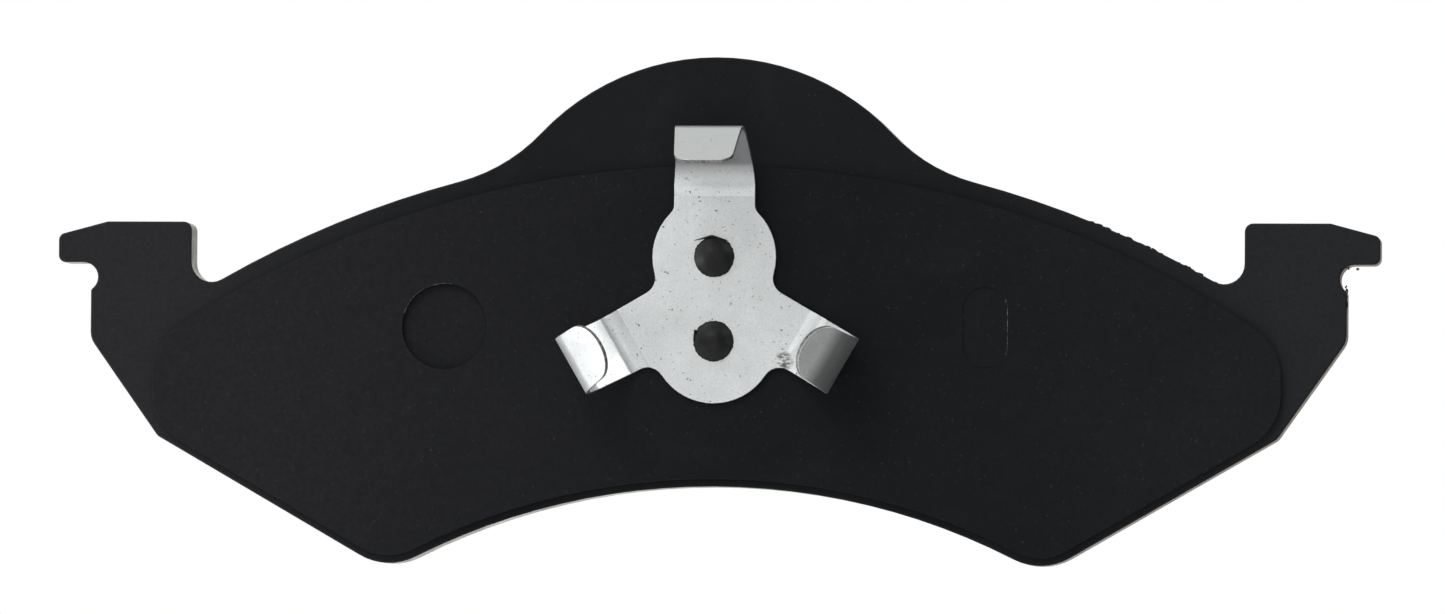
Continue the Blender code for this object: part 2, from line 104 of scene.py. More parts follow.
def copied(node, name):
    """A merged copy of a CAD node's mesh, its flat faces made whole."""
    made = bpy.data.objects.new(name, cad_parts[node].data.copy())
    bpy.context.scene.collection.objects.link(made)
    made.data.materials.clear()
    start_editing(made)
    bpy.ops.mesh.customdata_custom_splitnormals_clear()
    bpy.ops.mesh.remove_doubles(threshold=1e-6)
    bpy.ops.mesh.dissolve_limited(angle_limit=math.radians(0.3))
    stop_editing()
    return made


def apply_modifiers(made):
    pick_only(made)
    for modifier in list(made.modifiers):
        bpy.ops.object.modifier_apply(modifier=modifier.name)


def round_edges(made, radius, segments=3, sharper_than=35):
    """Rounds the edges that turn by more than this many degrees."""
    pick_only(made)
    bpy.ops.object.shade_smooth()
    bevel = made.modifiers.new("edges", "BEVEL")
    bevel.width = radius
    bevel.segments = segments
    bevel.limit_method = "ANGLE"
    bevel.angle_limit = math.radians(sharper_than)
    bevel.use_clamp_overlap = False
    bevel.harden_normals = True
    apply_modifiers(made)


def paint_faces(made, finish, chosen):
    """Gives this finish to the faces for which chosen(face) is true."""
    made.data.materials.append(finish)
    place = len(made.data.materials) - 1
    for face in made.data.polygons:
        if chosen(face):
            face.material_index = place


def add_node(tree, kind, settings=None, **inputs):
    """A node with its inputs linked or set, each by its name or as _ and its number."""
    made = tree.nodes.new(kind)
    for name, value in (settings or {}).items():
        setattr(made, name, value)
    for name, value in inputs.items():
        socket = made.inputs[int(name[1:])] if name[0] == "_" else made.inputs[name.replace("_", " ")]
        if isinstance(value, bpy.types.NodeSocket):
            tree.links.new(value, socket)
        else:
            socket.default_value = value
    return made


def new_finish(name, **shader_inputs):
    """A new material, with its node tree, its shader and the place on the piece."""
    made = bpy.data.materials.new(name)
    made.use_nodes = True
    tree = made.node_tree
    shader = tree.nodes["Principled BSDF"]
    for key, value in shader_inputs.items():
        shader.inputs[key.replace("_", " ")].default_value = value
    place = tree.nodes.new("ShaderNodeTexCoord").outputs["Object"]
    return made, tree, shader, place


def noise(tree, place, scale, detail=3.0, roughness=0.5, stretch=None):
    """The value of a noise pattern with this many features to the metre."""
    if stretch:
        place = add_node(tree, "ShaderNodeMapping", Vector=place, Scale=stretch).outputs[0]
    made = add_node(
        tree, "ShaderNodeTexNoise", Vector=place, Scale=scale, Detail=detail, Roughness=roughness
    )
    return made.outputs[0]


def spread(tree, value, from_low, from_high, to_low, to_high):
    """A value taken from one range into another, and held at its ends."""
    made = add_node(tree, "ShaderNodeMapRange", Value=value)
    made.inputs["From Min"].default_value = from_low
    made.inputs["From Max"].default_value = from_high
    made.inputs["To Min"].default_value = to_low
    made.inputs["To Max"].default_value = to_high
    return made.outputs[0]


def mixed(tree, share, first, second):
    """One colour into another, by a share from 0 to 1."""
    made = add_node(tree, "ShaderNodeMix", {"data_type": "RGBA"}, _0=share)
    for place, colour in ((6, first), (7, second)):
        if isinstance(colour, bpy.types.NodeSocket):
            tree.links.new(colour, made.inputs[place])
        else:
            made.inputs[place].default_value = (*colour, 1)
    return made.outputs[2]


def along_x(tree, place):
    return add_node(tree, "ShaderNodeSeparateXYZ", Vector=place).outputs["X"]


def dent(tree, height, depth, strength=1.0, over=None):
    """A bump of this height pattern, this many metres deep."""
    made = add_node(tree, "ShaderNodeBump", Height=height, Distance=depth, Strength=strength)
    if over:
        tree.links.new(over, made.inputs["Normal"])
    return made.outputs[0]


def set_inputs(tree, shader, **links):
    for name, value in links.items():
        tree.links.new(value, shader.inputs[name.replace("_", " ")])


coat, tree, shader, place = new_finish("satin_black_coat", Specular_IOR_Level=0.10)
cloud = noise(tree, place, 38, 5, 0.62)
smudge = spread(tree, noise(tree, place, 90, 6, 0.7), 0.52, 0.75, 0.0, 0.5)
fine = noise(tree, place, 1600, 3, 0.6)
fleck = spread(tree, noise(tree, place, 2600, 1, 0.5), 0.70, 0.76, 0.0, 0.5)
cloudy = spread(tree, cloud, 0.3, 0.7, 0.0, 1.0)
# Painted light: the coat is made lighter towards the left end, where the light falls. It is also made
# lighter towards the right end.
coat_painted_light_left = spread(tree, along_x(tree, place), -0.075, -0.03, 0.9, 0.0)
coat_lighter_right = spread(tree, along_x(tree, place), 0.04, 0.08, 0.0, 0.85)
colour = mixed(tree, cloudy, (0.0042, 0.0050, 0.0064), (0.0070, 0.0078, 0.0092))
colour = mixed(tree, coat_painted_light_left, colour, (0.0180, 0.0182, 0.0205))
colour = mixed(tree, coat_lighter_right, colour, (0.0165, 0.0175, 0.0190))
colour = mixed(tree, smudge, colour, (0.0170, 0.0170, 0.0165))
colour = mixed(tree, spread(tree, fine, 0.35, 0.65, 0.0, 0.35), colour, (0.0055, 0.0060, 0.0070))
colour = mixed(tree, fleck, colour, (0.045, 0.044, 0.042))
set_inputs(
    tree,
    shader,
    Base_Color=colour,
    Roughness=spread(tree, noise(tree, place, 160, 4, 0.6), 0.3, 0.7, 0.46, 0.62),
    Normal=dent(tree, noise(tree, place, 900, 3, 0.55), 0.00003, 0.35),
)

sheared, tree, shader, place = new_finish("coated_sheared_edge", Specular_IOR_Level=0.5)
tear = noise(tree, place, 1500, 4, 0.6, stretch=(1, 0.12, 1))
grit = noise(tree, place, 700, 5, 0.7)
pale = spread(tree, noise(tree, place, 110, 4, 0.6), 0.35, 0.65, 0.0, 1.0)
colour = mixed(tree, pale, (0.35, 0.34, 0.30), (0.62, 0.615, 0.575))
rusty = spread(tree, along_x(tree, place), 0.0, 0.06, 0.0, 0.85)
colour = mixed(tree, rusty, colour, (0.21, 0.165, 0.125))
colour = mixed(tree, spread(tree, grit, 0.50, 0.72, 0.0, 1.0), colour, (0.10, 0.085, 0.065))
set_inputs(
    tree,
    shader,
    Base_Color=colour,
    Metallic=spread(tree, grit, 0.50, 0.70, 0.7, 0.1),
    Roughness=spread(tree, grit, 0.3, 0.7, 0.40, 0.6),
    Normal=dent(tree, tear, 0.00012, 0.6, dent(tree, grit, 0.0001, 0.4)),
)

hole_centres = (
    Vector((-KEY_HOLE_X, 0, KEY_HOLE_Z)),
    Vector((KEY_HOLE_X, 0, KEY_HOLE_Z)),
    Vector((0, 0, UPPER_RIVET_Z)),
    Vector((0, 0, LOWER_RIVET_Z)),
)


def on_outer_edge(face):
    """A wall of the plate's outline, and not of a hole."""
    flat = Vector((face.center.x, 0, face.center.z))
    return abs(face.normal.y) < 0.2 and all((flat - hole).length > HOLE_SURROUND for hole in hole_centres)


plate = copied("backing_plate", "pressed_plate")
round_edges(plate, PLATE_EDGE_RADIUS)
paint_faces(plate, coat, lambda face: True)
paint_faces(plate, sheared, on_outer_edge)


def add_crumb(made, finish, spot, size, stretch):
    """Leaves a small lump of coat or scale on the plate's edge."""
    bpy.ops.mesh.primitive_ico_sphere_add(subdivisions=2, radius=size, location=spot)
    lump = bpy.context.object
    lump.scale = stretch
    lump.rotation_euler = (0, chance.uniform(0.1, 0.7), 0)
    for point in lump.data.vertices:
        point.co *= chance.uniform(0.75, 1.15)
    bpy.ops.object.transform_apply()
    lump.data.materials.append(finish)
    made.select_set(True)
    bpy.context.view_layer.objects.active = made
    bpy.ops.object.join()


# Crumbs of coat stand on the right shoulder, on the side below it and under the right ear.
for crumb in range(SHOULDER_CRUMBS):
    x = chance.uniform(0.0525, 0.0765)
    z = math.sqrt(SHOULDER_RADIUS**2 - x**2) - AXLE_DEPTH
    spot = (x, chance.uniform(0.0002, 0.0008), z - 0.00006)
    add_crumb(plate, coat, spot, chance.uniform(0.00011, 0.00024), (chance.uniform(1.2, 4.0), 1, 0.9))
for crumb in range(SIDE_CRUMBS):
    spot = (SIDE_X - 0.00015, chance.uniform(0.0003, 0.0030), chance.uniform(-0.0075, -0.0029))
    size = chance.uniform(0.00012, 0.00032)
    add_crumb(plate, chance.choice((coat, sheared)), spot, size, (0.8, 1, 1.5))
for crumb in range(EAR_CRUMBS):
    x = chance.uniform(SIDE_X - 0.0005, SIDE_X + 0.0016)
    spot = (x, chance.uniform(0.0004, 0.0020), chance.uniform(-0.0006, -0.0002))
    add_crumb(plate, sheared, spot, chance.uniform(0.00010, 0.00022), (0.8, 1, 1.2))
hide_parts("backing_plate")
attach(plate, "pad")


# Friction underlayer
# A softer compound pressed on with the friction block. It bonds the block to the plate and is
# squeezed through both key holes, where its plugs were coated over with the plate.
MOULDED_EDGE_RADIUS = 0.00005
ROUND_KEY_RADIUS = 0.0061
SLOT_KEY_HALF_WIDTH = 0.00315
SLOT_KEY_HALF_LENGTH = 0.00575
PLUG_GAP = 0.000295
ROUND_PLUG_LIFT = 0.0011  # leaves its end a little way down the hole
SLOT_PLUG_LIFT = 0.0019  # brings its end nearly level with the shim


def select_faces(made, chosen):
    """Starts editing with only the faces selected for which chosen(face) is true."""
    start_editing(made)
    bpy.ops.mesh.select_mode(type="FACE")
    bpy.ops.mesh.select_all(action="DESELECT")
    stop_editing()
    for face in made.data.polygons:
        face.select = chosen(face)
    bpy.ops.object.mode_set(mode="EDIT")


moulding, tree, shader, place = new_finish("moulded_underlayer", Specular_IOR_Level=0.35)
lump = noise(tree, place, 420, 6, 0.7)
fibre = spread(tree, noise(tree, place, 1500, 2, 0.5, stretch=(0.25, 1, 1)), 0.62, 0.72, 0.0, 1.0)
colour = mixed(tree, spread(tree, lump, 0.35, 0.65, 0.0, 1.0), (0.030, 0.027, 0.024), (0.075, 0.067, 0.058))
colour = mixed(tree, fibre, colour, (0.16, 0.14, 0.10))
set_inputs(
    tree,
    shader,
    Base_Color=colour,
    Roughness=spread(tree, lump, 0.3, 0.7, 0.75, 0.95),
    Normal=dent(tree, lump, 0.00025, 0.8),
)

plug_end, tree, shader, place = new_finish("coated_plug_end", Specular_IOR_Level=0.09)
fine = noise(tree, place, 1500, 3, 0.6)
fleck = spread(tree, noise(tree, place, 1900, 2, 0.5), 0.68, 0.74, 0.0, 0.5)
# Painted light: the left plug's end is made lighter than the right one's, because the pad is lit from the
# left.
side = spread(tree, along_x(tree, place), -0.03, 0.03, 0.0, 1.0)
colour = mixed(tree, side, (0.0098, 0.0102, 0.0118), (0.0062, 0.0072, 0.0084))
colour = mixed(tree, spread(tree, fine, 0.35, 0.65, 0.0, 0.35), colour, (0.0040, 0.0044, 0.0052))
colour = mixed(tree, fleck, colour, (0.035, 0.036, 0.036))
set_inputs(
    tree,
    shader,
    Base_Color=colour,
    Roughness=spread(tree, fine, 0.3, 0.7, 0.5, 0.64),
    Normal=dent(tree, fine, 0.00003, 0.4),
)

# Each plug is widened to fill its hole, and its end is drawn out to where the compound stopped.
underlayer = copied("friction_underlayer", "moulded_underlayer")
for x, half_width, half_length, lift in (
    (-KEY_HOLE_X, ROUND_KEY_RADIUS, ROUND_KEY_RADIUS, ROUND_PLUG_LIFT),
    (KEY_HOLE_X, SLOT_KEY_HALF_WIDTH, SLOT_KEY_HALF_LENGTH, SLOT_PLUG_LIFT),
):
    side = math.copysign(1, x)
    select_faces(
        underlayer,
        lambda face: face.normal.y < -0.9 and face.center.y < 0.002 and face.center.x * side > 0,
    )
    wider = [half / (half - PLUG_GAP) for half in (half_width, half_length)]
    bpy.ops.transform.resize(value=(wider[0], 1, wider[1]), center_override=(x, 0, KEY_HOLE_Z))
    bpy.ops.transform.translate(value=(0, -lift, 0))
    stop_editing()
round_edges(underlayer, MOULDED_EDGE_RADIUS, 2)
paint_faces(underlayer, moulding, lambda face: True)
paint_faces(underlayer, plug_end, lambda face: face.center.y < PLATE_THICKNESS - 0.0005)
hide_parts("friction_underlayer")
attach(underlayer, "pad")


# Friction block
# Steel fibre, graphite and mineral powder bound with resin, pressed hot in a mould. The face and
# its chamfers are ground, and the slot across the middle lets dust and gas out.
GROUND_EDGE_RADIUS = 0.0003

compound, tree, shader, place = new_finish("semi_metallic_compound", Specular_IOR_Level=0.4)
grain = noise(tree, place, 2200, 5, 0.6)
tone = noise(tree, place, 160, 4, 0.6)
metal = spread(tree, noise(tree, place, 3600, 1, 0.5), 0.66, 0.70, 0.0, 1.0)
pale = spread(tree, noise(tree, place, 2600, 2, 0.5), 0.66, 0.72, 0.0, 0.6)
pit = spread(tree, noise(tree, place, 1700, 4, 0.6), 0.62, 0.70, 0.0, 1.0)
colour = mixed(tree, spread(tree, grain, 0.3, 0.7, 0.0, 1.0), (0.050, 0.048, 0.046), (0.085, 0.081, 0.077))
colour = mixed(tree, spread(tree, tone, 0.3, 0.7, 0.0, 0.4), colour, (0.095, 0.088, 0.080))
colour = mixed(tree, pale, colour, (0.20, 0.18, 0.15))
colour = mixed(tree, metal, colour, (0.42, 0.36, 0.29))
colour = mixed(tree, pit, colour, (0.022, 0.021, 0.020))
set_inputs(
    tree,
    shader,
    Base_Color=colour,
    Metallic=metal,
    Roughness=spread(tree, metal, 0.0, 1.0, 0.88, 0.42),
    Normal=dent(tree, pit, -0.0001, 0.6, dent(tree, grain, 0.00006, 0.5)),
)

block = copied("friction_block", "ground_block")
round_edges(block, GROUND_EDGE_RADIUS, 2)
paint_faces(block, compound, lambda face: True)
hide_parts("friction_block")
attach(block, "pad")


# Noise shim
# A sheet of steel with rubber baked on, cut to a smaller outline than the plate's, and bonded to
# the plate's back by a damping film.
LAYER_GAP = 0.000095  # closed here, so that each layer lies on the next
SHIM_EDGE_RADIUS = 0.00006
SHIM_FACE_Y = -0.0011
HIGHLIT_SLOT_LENGTH = 0.0084


def move_faces(made, chosen, step):
    select_faces(made, chosen)
    bpy.ops.transform.translate(value=step)
    stop_editing()


film_finish, tree, shader, place = new_finish("bonding_film", Specular_IOR_Level=0.4)
smear = noise(tree, place, 300, 4, 0.6)
colour = mixed(tree, smear, (0.020, 0.018, 0.015), (0.050, 0.044, 0.036))
set_inputs(
    tree,
    shader,
    Base_Color=colour,
    Roughness=spread(tree, smear, 0.3, 0.7, 0.45, 0.7),
    Normal=dent(tree, smear, 0.00005, 0.5),
)

sheet_steel, tree, shader, place = new_finish("cut_sheet_steel", Metallic=0.6)
drawn = noise(tree, place, 2400, 3, 0.6, stretch=(1, 0.1, 1))
colour = mixed(tree, drawn, (0.016, 0.016, 0.017), (0.040, 0.039, 0.038))
set_inputs(
    tree,
    shader,
    Base_Color=colour,
    Roughness=spread(tree, drawn, 0.3, 0.7, 0.35, 0.6),
    Normal=dent(tree, drawn, 0.00003, 0.5),
)

rubber, tree, shader, place = new_finish("baked_rubber", Specular_IOR_Level=0.09)
cloud = noise(tree, place, 30, 5, 0.6)
rub = spread(tree, noise(tree, place, 120, 6, 0.72, stretch=(0.4, 1, 1.3)), 0.52, 0.78, 0.0, 0.5)
fine = noise(tree, place, 1500, 3, 0.6)
fleck = spread(tree, noise(tree, place, 2300, 1, 0.5), 0.71, 0.76, 0.0, 0.5)
# Painted light: the rubber is made lighter towards the left end, where the light falls. It is also made
# lighter towards the right end.
rubber_painted_light_left = spread(tree, along_x(tree, place), -0.066, 0.0, 0.85, 0.0)
rubber_lighter_right = spread(tree, along_x(tree, place), 0.03, 0.08, 0.0, 0.55)
cloudy = spread(tree, cloud, 0.3, 0.7, 0.0, 1.0)
colour = mixed(tree, cloudy, (0.0038, 0.0046, 0.0060), (0.0062, 0.0070, 0.0082))
colour = mixed(tree, rubber_painted_light_left, colour, (0.0150, 0.0150, 0.0172))
colour = mixed(tree, rubber_lighter_right, colour, (0.0110, 0.0125, 0.0132))
colour = mixed(tree, rub, colour, (0.0125, 0.0125, 0.0118))
colour = mixed(tree, spread(tree, fine, 0.35, 0.65, 0.0, 0.35), colour, (0.0030, 0.0034, 0.0042))
colour = mixed(tree, fleck, colour, (0.032, 0.032, 0.030))
set_inputs(
    tree,
    shader,
    Base_Color=colour,
    Roughness=spread(tree, noise(tree, place, 140, 4, 0.6), 0.3, 0.7, 0.50, 0.64),
    Normal=dent(tree, noise(tree, place, 1100, 3, 0.6), 0.00002, 0.35),
)

# Painted highlight: the key holes' lips get a pale, patchy colour for the light their rims catch.
painted_highlight_lip, tree, shader, place = new_finish("painted_lip_highlight", Specular_IOR_Level=0.3)
wear_and_sheen = spread(tree, noise(tree, place, 1300, 4, 0.7), 0.45, 0.60, 0.0, 1.0)
colour = mixed(tree, wear_and_sheen, (0.012, 0.013, 0.014), (0.22, 0.21, 0.20))
set_inputs(tree, shader, Base_Color=colour, Roughness=spread(tree, wear_and_sheen, 0.0, 1.0, 0.6, 0.4))


def on_painted_highlight_lip(face):
    """The rounded lip of a key hole's rim that takes a painted highlight: upper left of the round, right of
    the slot.
    """
    if abs(face.normal.y) > 0.95 or face.center.y > SHIM_FACE_Y + 0.00025:
        return False
    up = face.center.z - KEY_HOLE_Z
    if face.center.x < 0:
        out = face.center.x + KEY_HOLE_X
        at_rim = -0.0006 < math.hypot(out, up) - ROUND_KEY_RADIUS < 0.0005
        return at_rim and -1.3 < math.atan2(out, up) < 0.15
    out = face.center.x - KEY_HOLE_X
    return abs(out - SLOT_KEY_HALF_WIDTH) < 0.0004 and abs(up) < HIGHLIT_SLOT_LENGTH / 2


for node, name, finish, slot in (
    ("shim_damping_film", "shim_film", film_finish, "damping_film"),
    ("shim_steel_core", "shim_sheet", sheet_steel, "shim_steel"),
    ("shim_rubber_coat", "shim_rubber", rubber, "rubber_coat"),
):
    layer = copied(node, name)
    move_faces(layer, lambda face: face.normal.y > 0.9, (0, LAYER_GAP, 0))
    round_edges(layer, SHIM_EDGE_RADIUS, 2)
    paint_faces(layer, finish, lambda face: True)
    if finish == rubber:
        paint_faces(layer, painted_highlight_lip, on_painted_highlight_lip)
    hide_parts(node)
    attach(layer, "pad")


# Spring clip
# One stamping of 0.6 mm spring steel, zinc plated. It is blanked flat, then each arm is bent up
# and its end folded back inwards, so that the three fingers snap into the hollow piston.
CLIP_CENTRE = Vector((0, -0.0015, -0.0039))
CLIP_SHEET = 0.0006
HUB_REACH = 0.015054  # from the clip's centre to the end of each arm's flat
SEAM = 0.01340  # where a finger's piece parts from the hub's
ARM_RISE = 0.0081
TAB_RISE = 0.0092
BEND_STEPS = 12
RISER_STEPS = 3
FOLD_STEPS = 14
CUT_EDGE_RADIUS = 0.00009
SCAR_SPOT = (0.0101, -0.0018, -0.0139)
TOP_FINGER, RIGHT_FINGER, LEFT_FINGER = 0, 120, -120


def even_normals(made):
    """Lets the wide flat faces set the shading normals round them."""
    weighted = made.modifiers.new("normals", "WEIGHTED_NORMAL")
    weighted.mode = "FACE_AREA"
    weighted.weight = 100
    apply_modifiers(made)


def near(tree, place, spot, reach):
    """1 within this reach of a spot, falling to 0 at twice the reach."""
    away = add_node(tree, "ShaderNodeVectorMath", {"operation": "DISTANCE"}, _0=place, _1=spot)
    return spread(tree, away.outputs["Value"], reach, 2 * reach, 1.0, 0.0)


def product(tree, first, second):
    return add_node(tree, "ShaderNodeMath", {"operation": "MULTIPLY"}, _0=first, _1=second).outputs[0]


def outward_at(bearing):
    """The way out from the clip's centre, this many degrees from the top."""
    return Matrix.Rotation(math.radians(bearing), 3, "Y") @ Vector((0, 0, 1))


def select_edge_at(made, outward, reach):
    """Starts editing with only the edges selected that end an arm at this reach."""
    start_editing(made)
    bpy.ops.mesh.select_mode(type="EDGE")
    bpy.ops.mesh.select_all(action="DESELECT")
    stop_editing()
    points = made.data.vertices
    for edge in made.data.edges:
        ends = [(points[i].co - CLIP_CENTRE).dot(outward) for i in edge.vertices]
        edge.select = min(ends) > reach - 1e-5
    bpy.ops.object.mode_set(mode="EDIT")


def raise_finger(made, bearing, widths, bend_radius, arm_run, fold_radius, tab_lean, tip_radius):
    """Draws one arm out of the hub's end edge, bends it up and folds its tab back.

    The widths are those at the root, the fold and the tip. The arm's run and the tab's lean are
    measured along the hub's plane to the sharp corner that the fold rounds off.
    """
    outward = outward_at(bearing)
    up = Vector((0, -1, 0))
    select_edge_at(made, outward, HUB_REACH)
    rise = math.atan2(ARM_RISE, arm_run)
    fold = math.pi - math.atan2(TAB_RISE, tab_lean) - rise
    bend_cut = bend_radius * math.tan(rise / 2)
    fold_cut = fold_radius * math.tan(fold / 2)
    riser = math.hypot(arm_run, ARM_RISE) - bend_cut - fold_cut
    tab = math.hypot(tab_lean, TAB_RISE) - fold_cut
    steps = [(rise / BEND_STEPS, 2 * bend_radius * math.sin(rise / BEND_STEPS / 2))] * BEND_STEPS
    steps += [(0, riser / RISER_STEPS)] * RISER_STEPS
    steps += [(fold / FOLD_STEPS, 2 * fold_radius * math.sin(fold / FOLD_STEPS / 2))] * FOLD_STEPS
    steps += [(0, tab)]
    total = sum(length for turn, length in steps)
    fold_at = total - tab - fold_radius * fold / 2
    place = CLIP_CENTRE + outward * HUB_REACH
    heading = walked = 0
    width = widths[0]
    for turn, length in steps:
        heading += turn / 2
        step = (outward * math.cos(heading) + up * math.sin(heading)) * length
        heading += turn / 2
        walked += length
        place = place + step
        bpy.ops.mesh.extrude_region_move(TRANSFORM_OT_translate={"value": step})
        if walked < fold_at:
            wanted = widths[0] + (widths[1] - widths[0]) * walked / fold_at
        else:
            wanted = widths[1] + (widths[2] - widths[1]) * (walked - fold_at) / (total - fold_at)
        bpy.ops.transform.resize(value=(wanted / width,) * 3, center_override=place)
        width = wanted
    bpy.ops.mesh.select_mode(type="VERT")
    bpy.ops.mesh.bevel(offset=tip_radius, offset_type="OFFSET", segments=9, affect="VERTICES")
    stop_editing()


zinc, tree, shader, place = new_finish("dull_zinc_plate", Metallic=0.58)
cloud = noise(tree, place, 260, 5, 0.65)
speck = spread(tree, noise(tree, place, 1900, 2, 0.5), 0.69, 0.73, 0.0, 0.8)
brushed = noise(tree, place, 3000, 4, 0.6, stretch=(1, 1, 0.15))
scuff = spread(tree, noise(tree, place, 1100, 5, 0.7, stretch=(1, 1, 0.3)), 0.60, 0.74, 0.0, 0.4)
gouge = spread(tree, noise(tree, place, 1700, 4, 0.7, stretch=(0.6, 1, 1.2)), 0.47, 0.56, 0.0, 1.0)
scar = product(tree, gouge, near(tree, place, SCAR_SPOT, 0.0008))
colour = mixed(tree, spread(tree, cloud, 0.3, 0.7, 0.0, 1.0), (0.65, 0.67, 0.67), (0.74, 0.76, 0.76))
grain = noise(tree, place, 3400, 3, 0.65)
colour = mixed(tree, spread(tree, grain, 0.40, 0.66, 0.0, 0.34), colour, (0.45, 0.46, 0.46))
colour = mixed(tree, scuff, colour, (0.46, 0.46, 0.45))
colour = mixed(tree, speck, colour, (0.07, 0.07, 0.07))
colour = mixed(tree, scar, colour, (0.12, 0.12, 0.11))
# Painted shade: the plating is made duller in the crook under the top tab, on that tab and round the right
# fold, for the shadow and the dark reflections there.
axes = add_node(tree, "ShaderNodeSeparateXYZ", Vector=place)
on_arm = spread(tree, axes.outputs["Y"], -0.0105, -0.0090, 0.0, 1.0)
on_tab = spread(tree, axes.outputs["Y"], -0.0105, -0.0090, 1.0, 0.0)
painted_shade_under_top_tab = spread(tree, axes.outputs["Z"], 0.0112, 0.0143, 0.0, 0.85)
colour = mixed(tree, product(tree, painted_shade_under_top_tab, on_arm), colour, (0.15, 0.155, 0.16))
painted_shade_on_top_tab = spread(tree, axes.outputs["Z"], 0.0090, 0.0105, 0.0, 0.68)
colour = mixed(tree, product(tree, painted_shade_on_top_tab, on_tab), colour, (0.30, 0.31, 0.31))
way_right = tuple(outward_at(RIGHT_FINGER))
reach = add_node(tree, "ShaderNodeVectorMath", {"operation": "DOT_PRODUCT"}, _0=place, _1=way_right)
painted_shade_at_right_fold = spread(tree, reach.outputs["Value"], 0.0208, 0.0224, 0.0, 0.80)
colour = mixed(tree, product(tree, painted_shade_at_right_fold, on_tab), colour, (0.10, 0.10, 0.105))
fine_dents = dent(tree, grain, 0.00002, 0.35, dent(tree, brushed, 0.000012, 0.3))
set_inputs(
    tree,
    shader,
    Base_Color=colour,
    Roughness=spread(tree, cloud, 0.3, 0.7, 0.27, 0.35),
    Normal=dent(tree, scar, -0.00012, 0.9, fine_dents),
)

blanked_edge, tree, shader, place = new_finish("blanked_sheet_edge", Metallic=0.6)
torn = noise(tree, place, 2600, 4, 0.65, stretch=(1, 0.4, 1))
colour = mixed(tree, spread(tree, torn, 0.35, 0.65, 0.0, 1.0), (0.060, 0.058, 0.055), (0.26, 0.26, 0.25))
set_inputs(
    tree,
    shader,
    Base_Color=colour,
    Roughness=spread(tree, torn, 0.3, 0.7, 0.40, 0.55),
    Normal=dent(tree, torn, 0.00003, 0.5),
)

# The clip is drawn as a sheet with no thickness, in the middle of its metal, and thickened last.
clip = copied("clip_hub", "clip_sheet")
clip.data.materials.append(zinc)
clip.data.materials.append(blanked_edge)
select_faces(clip, lambda face: face.normal.y > -0.9)
bpy.ops.mesh.delete(type="FACE")
bpy.ops.mesh.select_all(action="SELECT")
bpy.ops.transform.translate(value=(0, CLIP_SHEET / 2, 0))
stop_editing()
raise_finger(
    clip,
    TOP_FINGER,
    widths=(0.0116, 0.0097, 0.0081),
    bend_radius=0.0042,
    arm_run=0.00656,
    fold_radius=0.0040,
    tab_lean=0.00626,
    tip_radius=0.0020,
)
for bearing, arm_run, fold_radius, tab_lean in (
    (RIGHT_FINGER, 0.00850, 0.0066, 0.00790),
    (LEFT_FINGER, 0.00820, 0.0055, 0.00756),
):
    raise_finger(
        clip,
        bearing,
        widths=(0.0090, 0.0090, 0.0080),
        bend_radius=0.0020,
        arm_run=arm_run,
        fold_radius=fold_radius,
        tab_lean=tab_lean,
        tip_radius=0.00385,
    )
wall = clip.modifiers.new("sheet", "SOLIDIFY")
wall.thickness = CLIP_SHEET
wall.offset = 0
wall.use_even_offset = True
wall.material_offset_rim = 1
apply_modifiers(clip)
start_editing(clip)
bpy.ops.mesh.normals_make_consistent(inside=False)
stop_editing()
round_edges(clip, CUT_EDGE_RADIUS, 3, 50)


def cut_off(made, outward, reach, keep_outer):
    """Cuts a piece of the clip across an arm, and closes the cut."""
    start_editing(made)
    bpy.ops.mesh.bisect(
        plane_co=CLIP_CENTRE + outward * reach,
        plane_no=outward,
        use_fill=True,
        clear_inner=keep_outer,
        clear_outer=not keep_outer,
        threshold=1e-6,
    )
    stop_editing()


hub = bpy.data.objects.new("stamped_hub", clip.data.copy())
bpy.context.scene.collection.objects.link(hub)
for name, body, bearing in (
    ("top_finger", "finger_top", TOP_FINGER),
    ("right_finger", "finger_right", RIGHT_FINGER),
    ("left_finger", "finger_left", LEFT_FINGER),
):
    outward = outward_at(bearing)
    cut_off(hub, outward, SEAM, False)
    finger = bpy.data.objects.new(name, clip.data.copy())
    bpy.context.scene.collection.objects.link(finger)
    cut_off(finger, outward, SEAM, True)
    even_normals(finger)
    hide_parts(f"clip_{body}")
    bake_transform(finger)
bpy.data.objects.remove(clip)
even_normals(hub)
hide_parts("clip_hub")
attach(hub, "pad")


# Rivets
# Two steel rivets, cold headed over the clip into domes and blackened, hold the clip and the shim
# to the plate.
RIVET_HEAD_RADIUS = 0.00285
RIVET_SHANK_RADIUS = 0.0017
RIVET_SEAT_Y = CLIP_CENTRE.y - CLIP_SHEET / 2
RIVET_TURN_STEPS = 64
FLASH_WIDTHS = (0, 0, 0.00002, 0.00005, 0.0001)
SLIVER_RADIUS = 0.00020
# Each sliver's place beside its rivet's middle, its length and how far it leans.
SLIVERS = {
    "upper_rivet": (((-0.00162, 0.00262), 0.0026, -104), ((0.00083, 0.00262), 0.0024, 105)),
    "lower_rivet": (((-0.00275, 0.0008), 0.0016, -170),),
}

black_steel, tree, shader, place = new_finish("blackened_rivet", Specular_IOR_Level=0.22)
wear_and_sheen = noise(tree, place, 700, 5, 0.65)
rubbed = spread(tree, wear_and_sheen, 0.45, 0.75, 0.0, 1.0)
colour = mixed(tree, rubbed, (0.0050, 0.0053, 0.0058), (0.018, 0.018, 0.019))
set_inputs(
    tree,
    shader,
    Base_Color=colour,
    Roughness=spread(tree, wear_and_sheen, 0.3, 0.7, 0.44, 0.58),
    Normal=dent(tree, noise(tree, place, 1300, 4, 0.6), 0.00005, 0.5),
)

